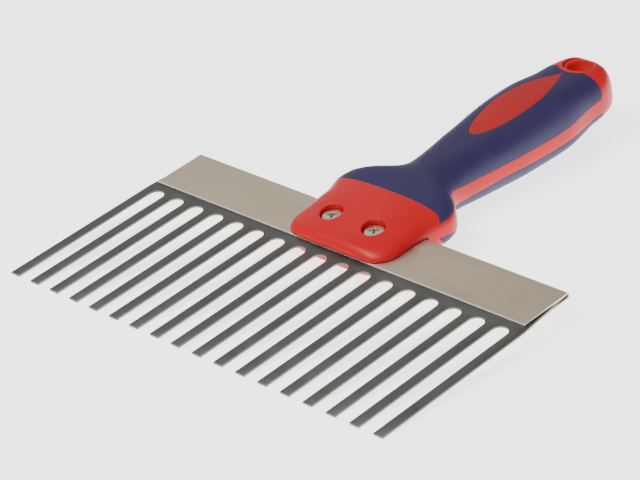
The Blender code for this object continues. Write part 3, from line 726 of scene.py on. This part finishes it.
def screw_shank():
    """Rings of the threaded shank, from the tip up: (a radius for each point, height)."""
    thread = SCREW_SEAT - SCREW_TIP - THREAD_RUN_OUT
    rows = TURN_ROWS * round(thread / SCREW_PITCH)
    depth = SCREW_THREAD_RADIUS - SCREW_CORE_RADIUS
    rings = []
    for row in range(rows + 1):
        z = SCREW_TIP + THREAD_TIP + thread * row / rows
        share = min(1.0, mix(TIP_SHARE, 1.0, row / TIP_ROWS))
        fade = min(1.0, row / TIP_ROWS, (rows - row) / END_ROWS)
        radii = []
        for k in range(SCREW_POINTS):
            phase = (z / SCREW_PITCH - k / SCREW_POINTS) % 1.0
            crest = max(0.0, 1 - abs(phase - 0.5) / THREAD_FLANK)
            radii.append(SCREW_CORE_RADIUS * share + depth * crest * fade)
        rings.append((radii, z))
    return rings


def screw_head():
    """Profile of the low rounded head, from the shank to its top: (radius, height)."""
    rim = SCREW_HEAD_RADIUS
    head = [(SCREW_CORE_RADIUS, SCREW_SEAT), (rim - HEAD_UNDER, SCREW_SEAT),
            (rim, SCREW_SEAT + HEAD_UNDER)]
    for k in range(HEAD_STEPS + 1):
        angle = math.radians(90 * k / HEAD_STEPS)
        head.append((rim - HEAD_RIM * (1 - math.cos(angle)),
                     SCREW_HEAD_TOP - HEAD_CROWN - HEAD_RIM * (1 - math.sin(angle))))
    return head + [(rim * share, SCREW_HEAD_TOP - drop) for share, drop in HEAD_DOME]


def cross_arm(x, degrees):
    """Cutter for both opposite arms of a cross recess, narrower towards its floor."""
    cos, sin = math.cos(math.radians(degrees)), math.sin(math.radians(degrees))
    verts = []
    for reach, half, rise in CROSS_ARM:
        for p, q in ((-reach, -half), (reach, -half), (reach, half), (-reach, half)):
            verts.append((x + p * cos - q * sin, SCREW_Y + p * sin + q * cos,
                          SCREW_HEAD_TOP + rise))
    rings = [(0, 1, 2, 3), (4, 5, 6, 7), (8, 9, 10, 11)]
    return new_object("recess", verts, [rings[0], rings[-1]] + ring_faces(rings, 4))


def screw(side, x, turn):
    """Self-tapping screw: low rounded head with a tapered cross recess and a helical thread."""
    verts, rings = [(x, SCREW_Y, SCREW_TIP)], [[0]]
    for radii, z in screw_shank() + [([radius] * SCREW_POINTS, z) for radius, z in screw_head()]:
        rings.append(list(range(len(verts), len(verts) + SCREW_POINTS)))
        for k, radius in enumerate(radii):
            a = 2 * math.pi * k / SCREW_POINTS
            verts.append((x + radius * math.cos(a), SCREW_Y + radius * math.sin(a), z))
    rings.append([len(verts)])
    verts.append((x, SCREW_Y, SCREW_HEAD_TOP))
    body = new_object("cross_screw_" + side, verts, ring_faces(rings, SCREW_POINTS))
    for arm in (0, 90):
        carve(body, cross_arm(x, turn + arm))
    middle = [(radius, SCREW_HEAD_TOP + rise) for radius, rise in CROSS_MIDDLE]
    carve(body, lathe("recess_middle", middle, (x, SCREW_Y, 0), segments=RECESS_POINTS))
    smooth(body, SCREW_SMOOTH_ANGLE)
    return body


# ---- materials ---------------------------------------------------------------------------------
# Colours, linear.
COMB_DARK, COMB_LIGHT = (0.130, 0.127, 0.118), (0.160, 0.157, 0.147)
COMB_GRAIN, COMB_WORN = (0.19, 0.187, 0.176), (0.30, 0.29, 0.27)
STRIP_DARK, STRIP_LIGHT = (0.700, 0.575, 0.430), (0.740, 0.612, 0.465)
STRIP_BRUSH, STRIP_HAIR = (0.64, 0.56, 0.47), (0.70, 0.64, 0.56)
# painted highlights: the first colour on the strip's edges, the second along its front edge
STRIP_EDGE_HIGHLIGHT, STRIP_FRONT_HIGHLIGHT = (0.88, 0.86, 0.82), (0.80, 0.77, 0.72)
ZINC_DARK, ZINC_LIGHT = (0.74, 0.66, 0.52), (0.86, 0.79, 0.66)
# the second colour is painted shade and grime, darkening the screws' cross recess
ZINC_WORN, ZINC_SHADE_AND_GRIME = (0.93, 0.90, 0.82), (0.10, 0.09, 0.075)
RED_DARK, RED_LIGHT = (0.560, 0.0050, 0.0100), (0.600, 0.0070, 0.0125)
# the third colour is painted light inside the hang hole
RED_PAD, RED_WORN, RED_HOLE_PAINTED_LIGHT = (0.36, 0.022, 0.020), (0.70, 0.10, 0.085), (0.74, 0.045, 0.045)
NAVY_DARK, NAVY_LIGHT = (0.0200, 0.0145, 0.0720), (0.0250, 0.0185, 0.0860)
NAVY_GRAIN, NAVY_DUST = (0.032, 0.030, 0.080), (0.070, 0.068, 0.110)
NAVY_WORN = (0.060, 0.058, 0.130)
FLOOR_DARK, FLOOR_LIGHT = (0.86, 0.86, 0.855), (0.885, 0.885, 0.88)
WHITE = (1.0, 1.0, 1.0)
FLOOR_GLOW = 2.4             # the floor is a light table
BEVEL_SAMPLES = 6


class Nodes:
    """Small builder for node materials; coordinates are the tool's frame, in millimetres."""

    def __init__(self, name):
        self.material = bpy.data.materials.new(name)
        self.material.use_nodes = True
        self.tree = self.material.node_tree
        self.shader = self.tree.nodes["Principled BSDF"]
        coords = self.add("ShaderNodeTexCoord")
        own = self.add("ShaderNodeMapping", vector_type="TEXTURE")
        own.inputs["Location"].default_value = TOOL.translation
        own.inputs["Rotation"].default_value = TOOL.to_euler()
        own.inputs["Scale"].default_value = (MM, MM, MM)
        self.link(coords.outputs["Object"], own.inputs["Vector"])
        self.place = own.outputs["Vector"]

    def add(self, kind, **settings):
        node = self.tree.nodes.new(kind)
        for key, value in settings.items():
            setattr(node, key, value)
        return node

    def link(self, source, target):
        self.tree.links.new(source, target)

    def stretch(self, factors):
        """Coordinates multiplied axis by axis, for streaks."""
        node = self.add("ShaderNodeVectorMath", operation="MULTIPLY")
        node.inputs[1].default_value = factors
        self.link(self.place, node.inputs[0])
        return node.outputs["Vector"]

    def noise(self, scale, detail=4.0, roughness=0.55, place=None, distortion=0.0):
        node = self.add("ShaderNodeTexNoise")
        node.inputs["Scale"].default_value = scale
        node.inputs["Detail"].default_value = detail
        node.inputs["Roughness"].default_value = roughness
        node.inputs["Distortion"].default_value = distortion
        self.link(place or self.place, node.inputs["Vector"])
        return node.outputs["Fac"]

    def cells(self, scale, place=None, feature="F1"):
        node = self.add("ShaderNodeTexVoronoi", feature=feature)
        node.inputs["Scale"].default_value = scale
        self.link(place or self.place, node.inputs["Vector"])
        return node.outputs["Distance"]

    def spread(self, value, low, high, to_low=0.0, to_high=1.0):
        """Value from low..high to to_low..to_high, held inside that range."""
        node = self.add("ShaderNodeMapRange")
        node.clamp = True
        for key, number in (("From Min", low), ("From Max", high),
                            ("To Min", to_low), ("To Max", to_high)):
            node.inputs[key].default_value = number
        self.link(value, node.inputs["Value"])
        return node.outputs["Result"]

    def math(self, operation, a, b=0.0):
        """Result of a maths node; a and b are sockets or constants."""
        node = self.add("ShaderNodeMath", operation=operation)
        for socket, value in zip(node.inputs, (a, b)):
            if isinstance(value, (int, float)):
                socket.default_value = value
            else:
                self.link(value, socket)
        return node.outputs["Value"]

    def plus(self, a, b):
        return self.math("ADD", a, b)

    def times(self, a, b):
        return self.math("MULTIPLY", a, b)

    def blend(self, share, a, b):
        """Mix of two colours; share, a and b are sockets or constants."""
        node = self.add("ShaderNodeMix", data_type="RGBA", blend_type="MIX")
        for socket, value in zip((node.inputs[0], node.inputs[6], node.inputs[7]), (share, a, b)):
            if isinstance(value, (int, float)):
                socket.default_value = value
            elif isinstance(value, tuple):
                socket.default_value = (*value, 1.0)
            else:
                self.link(value, socket)
        return node.outputs[2]

    def mottled(self, value, dark, light, low=0.3, high=0.7):
        """Colour from dark to light as the value goes from low to high."""
        return self.blend(self.spread(value, low, high), dark, light)

    def soft_edge(self, radius):
        """Normal that rounds the sharp edges, radius in millimetres."""
        node = self.add("ShaderNodeBevel", samples=BEVEL_SAMPLES)
        node.inputs["Radius"].default_value = radius * MM
        return node.outputs["Normal"]

    def edge_wear_and_highlight(self, color, tint, share, radius, low, high):
        """Colour with the tint on sharp edges, as wear on most pieces and as a painted highlight on the
        strip; low and high are cosines of the rounding.
        """
        plain = self.add("ShaderNodeNewGeometry")
        product = self.add("ShaderNodeVectorMath", operation="DOT_PRODUCT")
        self.link(self.soft_edge(radius), product.inputs[0])
        self.link(plain.outputs["Normal"], product.inputs[1])
        edge = self.spread(product.outputs["Value"], high, low)
        return self.blend(self.times(edge, share), color, tint)

    def axis(self, name):
        """One coordinate, in millimetres."""
        node = self.add("ShaderNodeSeparateXYZ")
        self.link(self.place, node.inputs[0])
        return node.outputs[name]

    def from_axis(self, x, y):
        """Distance from the upright axes at (x, y) and (-x, y)."""
        level = self.add("ShaderNodeCombineXYZ")
        across = self.math("ABSOLUTE", self.axis("X"))
        self.link(self.math("SUBTRACT", across, x), level.inputs["X"])
        self.link(self.math("SUBTRACT", self.axis("Y"), y), level.inputs["Y"])
        length = self.add("ShaderNodeVectorMath", operation="LENGTH")
        self.link(level.outputs["Vector"], length.inputs[0])
        return length.outputs["Value"]

    def bump(self, height, distance, strength, under=None):
        """Normal bumped by a height of up to distance, in millimetres."""
        node = self.add("ShaderNodeBump")
        node.inputs["Strength"].default_value = strength
        node.inputs["Distance"].default_value = distance * MM
        self.link(height, node.inputs["Height"])
        if under is not None:
            self.link(under, node.inputs["Normal"])
        return node.outputs["Normal"]

    def finish(self, color, roughness, normal=None, metallic=0.0, **constants):
        """The material; metallic is a socket or a constant, and the other inputs are constants."""
        self.link(color, self.shader.inputs["Base Color"])
        self.link(roughness, self.shader.inputs["Roughness"])
        if normal is not None:
            self.link(normal, self.shader.inputs["Normal"])
        if isinstance(metallic, float):
            self.shader.inputs["Metallic"].default_value = metallic
        else:
            self.link(metallic, self.shader.inputs["Metallic"])
        for key, value in constants.items():
            self.shader.inputs[key.replace("_", " ")].default_value = value
        return self.material


def comb_steel():
    """Dark tempered spring steel: rolling grain along X, oxide mottling, worn edges and tips."""
    n = Nodes("comb_spring_steel")
    grain = n.noise(1.0, 3.0, 0.6, n.stretch((0.05, 3.2, 3.2)))
    mottle = n.noise(0.045, 5.0, 0.55, distortion=0.4)
    fine = n.noise(2.4, 3.0, 0.6)
    color = n.mottled(mottle, COMB_DARK, COMB_LIGHT)
    color = n.blend(n.spread(grain, 0.45, 0.75, 0.0, 0.25), color, COMB_GRAIN)
    tips = n.spread(n.axis("Y"), -SLOT_DEPTH + 7, -SLOT_DEPTH, 0.0, 0.45)
    color = n.blend(n.times(tips, n.spread(fine, 0.42, 0.62)), color, COMB_WORN)
    color = n.edge_wear_and_highlight(color, COMB_WORN, 0.15, 0.20, 0.86, 0.99)
    rough = n.spread(n.plus(grain, mottle), 0.7, 1.3, 0.42, 0.54)
    normal = n.bump(grain, 0.008, 0.4, n.bump(fine, 0.006, 0.3))
    return n.finish(color, rough, normal, metallic=1.0)


def strip_steel():
    """Satin champagne-coloured sheet, brushed along X, with faint handling marks, and painted
    highlights on its edges and along its front edge.
    """
    n = Nodes("strip_satin_sheet")
    brush = n.noise(1.0, 4.0, 0.65, n.stretch((0.03, 9.0, 9.0)))
    cloud = n.noise(0.035, 4.0, 0.5)
    hair = n.noise(1.0, 2.0, 0.5, n.stretch((0.012, 2.2, 2.2)))
    color = n.mottled(cloud, STRIP_DARK, STRIP_LIGHT)
    color = n.blend(n.spread(brush, 0.40, 0.72, 0.0, 0.22), color, STRIP_BRUSH)
    color = n.blend(n.spread(hair, 0.66, 0.72, 0.0, 0.20), color, STRIP_HAIR)
    # painted highlight on the strip's edges, strong all along them
    color = n.edge_wear_and_highlight(color, STRIP_EDGE_HIGHLIGHT, 0.8, 0.25, 0.86, 0.99)
    # painted highlight along the strip's front edge: paler, and less metallic so that it is lit like a
    # matt surface
    front_highlight = n.spread(n.axis("Y"), STRIP_FRONT + STRIP_HIGHLIGHT_BAND[1], STRIP_FRONT + STRIP_HIGHLIGHT_BAND[0])
    color = n.blend(front_highlight, color, STRIP_FRONT_HIGHLIGHT)
    rough = n.spread(n.plus(brush, cloud), 0.7, 1.3, 0.38, 0.50)
    metallic = n.spread(front_highlight, 0.0, 1.0, 1.0, 0.25)
    return n.finish(color, rough, n.bump(brush, 0.007, 0.4), metallic=metallic)


def screw_steel():
    """Zinc-plated steel with a warm tint, worn edges, and painted shade with grime in the cross recess.
    """
    n = Nodes("screw_zinc_plate")
    spots = n.noise(1.4, 4.0, 0.6)
    fine = n.noise(9.0, 2.0, 0.5)
    color = n.mottled(spots, ZINC_DARK, ZINC_LIGHT, 0.35, 0.65)
    color = n.edge_wear_and_highlight(color, ZINC_WORN, 0.5, 0.25, 0.8, 0.99)
    # painted shade and grime: the cross recess is darkened below the head's top, within the arms' reach
    recess_shade_and_grime = n.spread(n.axis("Z"), SCREW_HEAD_TOP - 0.25, SCREW_HEAD_TOP - 0.90)
    inside = n.spread(n.from_axis(SCREW_X[1], SCREW_Y), CROSS_REACH + 0.5, CROSS_REACH + 0.2)
    color = n.blend(n.times(n.times(recess_shade_and_grime, inside), 0.75), color, ZINC_SHADE_AND_GRIME)
    rough = n.spread(spots, 0.3, 0.7, 0.30, 0.46)
    return n.finish(color, rough, n.bump(fine, 0.010, 0.4), metallic=1.0)


def leaf_pad(n):
    """Mask that is 1 on the core's leaf-shaped pad."""
    front = n.spread(n.axis("Y"), LENS_FRONT, LENS_FRONT + 0.5)
    rear = n.spread(n.axis("Y"), LENS_REAR + 0.5, LENS_REAR)
    above = n.spread(n.axis("Z"), 2.5, 4.5)
    sides = n.spread(n.math("ABSOLUTE", n.axis("X")), LENS_HALF + 0.6, LENS_HALF + 0.3)
    return n.times(n.times(n.times(front, rear), above), sides)


def hard_red():
    """Glossy moulded red plastic; the leaf pad has a fine spark-eroded texture, and the hang hole
    carries painted light, a paler, less deep red.
    """
    n = Nodes("core_red_plastic")
    cloud = n.noise(0.05, 3.0, 0.5)
    peel = n.noise(0.9, 2.0, 0.4)
    spark = n.noise(5.5, 3.0, 0.65)
    pad = leaf_pad(n)
    color = n.mottled(cloud, RED_DARK, RED_LIGHT)
    color = n.blend(n.times(pad, n.spread(spark, 0.35, 0.70, 0.45, 0.90)), color, RED_PAD)
    color = n.edge_wear_and_highlight(color, RED_WORN, 0.30, 0.5, 0.80, 0.985)
    # painted light: the hang hole's wall and mouth are painted a paler, less deep red
    bore = n.spread(n.from_axis(0.0, HOLE_Y), HOLE_RADIUS + HOLE_MOUTH, HOLE_RADIUS, 0.0, 0.8)
    color = n.blend(bore, color, RED_HOLE_PAINTED_LIGHT)
    scuff = n.cells(0.22, n.stretch((1.0, 0.35, 1.0)), "DISTANCE_TO_EDGE")
    rough = n.plus(n.spread(peel, 0.3, 0.7, 0.30, 0.38), n.times(pad, 0.22))
    rough = n.plus(rough, n.spread(scuff, 0.0, 0.01, 0.08, 0.0))
    height = n.plus(n.times(peel, 0.35), n.times(spark, pad))
    normal = n.bump(height, 0.030, 0.5, n.soft_edge(0.35))
    return n.finish(color, rough, normal, Specular_IOR_Level=0.25)


def soft_blue():
    """Matt navy thermoplastic rubber with a fine grain, paler where it is rubbed."""
    n = Nodes("grip_navy_rubber")
    cloud = n.noise(0.045, 4.0, 0.55)
    grain = n.cells(2.1)
    fine = n.noise(6.0, 3.0, 0.6)
    color = n.mottled(cloud, NAVY_DARK, NAVY_LIGHT)
    color = n.blend(n.spread(grain, 0.1, 0.5, 0.25, 0.0), color, NAVY_GRAIN)
    dust = n.times(n.spread(fine, 0.56, 0.70, 0.0, 0.35), n.spread(cloud, 0.45, 0.65))
    color = n.blend(dust, color, NAVY_DUST)
    color = n.edge_wear_and_highlight(color, NAVY_WORN, 0.35, 0.5, 0.80, 0.985)
    rough = n.spread(cloud, 0.3, 0.7, 0.50, 0.62)
    height = n.plus(n.times(grain, 0.7), n.times(fine, 0.5))
    normal = n.bump(height, 0.040, 0.45, n.soft_edge(0.40))
    return n.finish(color, rough, normal, Specular_IOR_Level=0.40)


def pale_floor():
    """Pale studio floor with the faintest mottling, lit from within."""
    n = Nodes("studio_floor")
    cloud = n.noise(0.012, 3.0, 0.5)
    return n.finish(n.mottled(cloud, FLOOR_DARK, FLOOR_LIGHT), n.spread(cloud, 0.3, 0.7, 0.55, 0.65),
                    Emission_Color=(*WHITE, 1.0), Emission_Strength=FLOOR_GLOW)


# ---- build -------------------------------------------------------------------------------------
def place(piece, node, slot, material):
    """Gives a finished piece its material and its body, and hides its CAD node."""
    piece.data.materials.clear()
    piece.data.materials.append(material)
    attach(piece, "root")
    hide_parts(node)


place(comb_blade(), "comb_blade", "comb_steel", comb_steel())
place(back_strip(), "back_strip", "strip_steel", strip_steel())
place(handle_core(), "handle_core", "hard_red", hard_red())
blue = soft_blue()
place(grip_upper(), "grip_upper", "soft_blue", blue)
place(grip_lower(), "grip_lower", "soft_blue", blue)
zinc = screw_steel()
for side, x, turn in zip(("left", "right"), SCREW_X, SCREW_TURNS):
    place(screw(side, x, turn), "screw_" + side, "screw_steel", zinc)


# ---- studio ------------------------------------------------------------------------------------
# Metres and degrees.
FLOOR_HALF = 3.0
WORLD_STRENGTH = 0.30
CAMERA_AZIMUTH = 47.42
CAMERA_ELEVATION = 27.68
CAMERA_ROLL = -5.5
CAMERA_DISTANCE = 1.050
CAMERA_TARGET = Vector((0.0091, -0.0537, 0.0214))
CAMERA_LENS = 158.2          # millimetres, on a sensor 36 mm wide
CAMERA_SENSOR = 36.0
CAMERA_CLIP = (0.05, 20.0)
LIGHTS = (                   # name, azimuth, elevation, distance, width, height, watts, colour
    ("key", -18.0, 60.0, 1.6, 0.9, 0.9, 26.0, (1.0, 0.99, 0.98)),
    ("back_left", -128.0, 30.0, 1.6, 1.4, 0.9, 2.2, WHITE),
    ("fill", 98.0, 14.0, 1.6, 1.2, 0.5, 1.5, WHITE),
)


def direction(azimuth, elevation):
    """From the target towards a point at that azimuth and elevation, in degrees."""
    a, e = math.radians(azimuth), math.radians(elevation)
    return Vector((math.sin(a) * math.cos(e), -math.cos(a) * math.cos(e), math.sin(e)))


def floor():
    """Square floor just under the tool."""
    mesh = bpy.data.meshes.new("floor")
    corners = [(x * FLOOR_HALF, y * FLOOR_HALF, cad_box[0][2])
               for x, y in ((-1, -1), (1, -1), (1, 1), (-1, 1))]
    mesh.from_pydata(corners, [], [(0, 1, 2, 3)])
    mesh.materials.append(pale_floor())
    add_to_scene("floor", mesh)


def camera():
    """Camera at the photo's angle, rolled as the photo is."""
    data = bpy.data.cameras.new("camera")
    data.lens = CAMERA_LENS
    data.sensor_width = CAMERA_SENSOR
    data.clip_start, data.clip_end = CAMERA_CLIP
    obj = add_to_scene("camera", data)
    back = direction(CAMERA_AZIMUTH, CAMERA_ELEVATION)
    turned = math.radians(CAMERA_AZIMUTH)
    level = Vector((math.cos(turned), math.sin(turned), 0.0))
    upright = back.cross(level)
    roll = math.radians(CAMERA_ROLL)
    right = level * math.cos(roll) + upright * math.sin(roll)
    up = back.cross(right)
    turn = Matrix((right, up, back)).transposed().to_4x4()
    obj.matrix_world = Matrix.Translation(CAMERA_TARGET + back * CAMERA_DISTANCE) @ turn
    bpy.context.scene.camera = obj


def light(name, azimuth, elevation, distance, width, height, watts, colour):
    """Rectangular area light that faces the origin."""
    data = bpy.data.lights.new(name, "AREA")
    data.shape = "RECTANGLE"
    data.size = width
    data.size_y = height
    data.energy = watts
    data.color = colour
    obj = add_to_scene(name, data)
    back = direction(azimuth, elevation)
    obj.location = back * distance
    obj.rotation_euler = back.to_track_quat("Z", "Y").to_euler()


def world():
    """Even white surroundings."""
    data = bpy.data.worlds.new("studio")
    data.use_nodes = True
    background = data.node_tree.nodes["Background"]
    background.inputs["Color"].default_value = (*WHITE, 1.0)
    background.inputs["Strength"].default_value = WORLD_STRENGTH
    bpy.context.scene.world = data


floor()
camera()
world()
for values in LIGHTS:
    light(*values)
